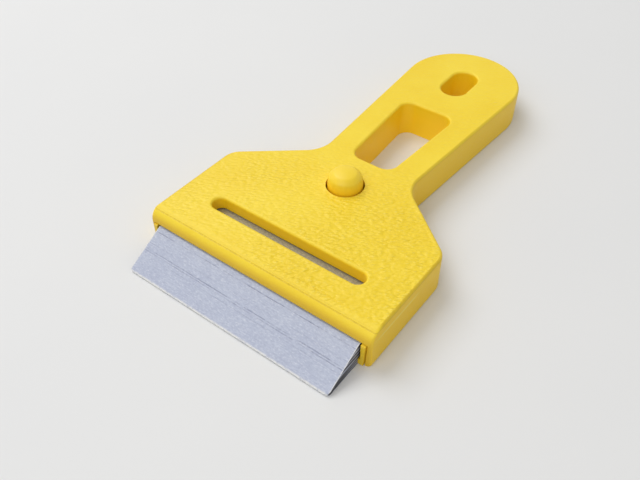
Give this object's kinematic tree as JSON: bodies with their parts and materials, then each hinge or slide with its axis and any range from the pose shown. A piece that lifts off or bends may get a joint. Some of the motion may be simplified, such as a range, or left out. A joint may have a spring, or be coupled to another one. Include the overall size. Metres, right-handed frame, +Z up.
{
  "type": "hand scraper",
  "caption": "Flat hand scraper with a slide-in carrier that holds a wedge blade, a round release button, a viewing slot, a finger hole and a hanging hole in the handle.",
  "frame": {"origin": "on the underside, below the middle of the whole tool's length and width", "axes": "+Y from the blade's edge towards the end of the handle, +X across the tool to the right as seen from above with the blade pointing at the viewer's feet, +Z up out of the top face"},
  "size_m": [0.08, 0.1526, 0.0179],
  "materials": {
    "housing_plastic": "yellow, fine pebbled grain on the top face, smooth sides",
    "carrier_plastic": "yellow, smooth",
    "button_plastic": "yellow, smooth with fine level lines",
    "blade_plastic": "silver grey, fine lines parallel to the edge"
  },
  "bodies": {
    "housing": {"handle_housing": "housing_plastic"},
    "carrier": {"blade_carrier": "carrier_plastic", "scraper_blade": "blade_plastic"},
    "latch": {"release_tongue": "carrier_plastic", "release_button": "button_plastic"}
  },
  "joints": [
    {"name": "carrier_slide", "type": "slide", "parent": "housing", "child": "carrier", "axis": [0, -1, 0], "range_m": [0, 0.054], "deforming": ["release_tongue", "release_button"]},
    {"name": "button_press", "type": "hinge", "parent": "carrier", "child": "latch", "pos_m": [0, -0.03885, 0.0075], "axis": [-1, 0, 0], "range_deg": [0, 12.5], "stiffness_Nm_per_rad": 0.28}
  ]
}
